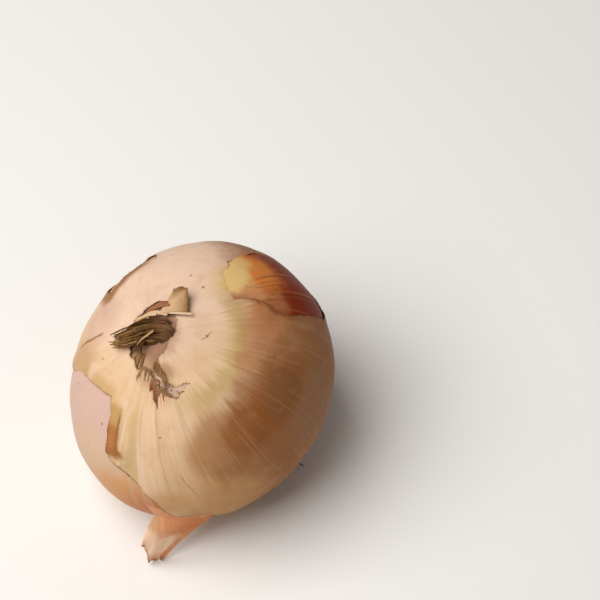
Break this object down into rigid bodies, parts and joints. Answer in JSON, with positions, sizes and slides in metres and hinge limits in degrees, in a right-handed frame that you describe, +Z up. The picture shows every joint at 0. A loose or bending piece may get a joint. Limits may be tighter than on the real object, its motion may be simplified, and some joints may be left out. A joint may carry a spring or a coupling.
{
  "type": "onion",
  "caption": "Dry brown-skinned onion lying a little tilted on its rest spot, with torn papery outer skin, a loose skin flap, a bent dried neck and dried roots.",
  "frame": {"origin": "on the surface that the onion rests on, straight under the middle of the bulb, inside its flat rest spot", "axes": "+Z up from the rest spot; the onion's own axis leans 21 degrees from +Z, its neck towards -X and -Y; the loose flap hangs on the -Y side"},
  "size_m": [0.0809, 0.0881, 0.0766],
  "materials": {
    "inner_skin": "smooth satin onion skin, pinkish white to orange-red, with fine veins from neck to root",
    "papery_skin": "thin dry papery onion skin, pale peach to tan, satin, with veins from neck to root",
    "orange_skin": "thin orange-pink onion skin, satin, paler at its torn end",
    "dry_leaf": "matt dark brown dried leaf fibre",
    "dry_root": "matt tan dried root"
  },
  "bodies": {
    "root": {"bulb": "inner_skin", "outer_skin": "papery_skin", "skin_flap": "orange_skin", "dried_neck": "dry_leaf", "roots": "dry_root"}
  },
  "joints": []
}
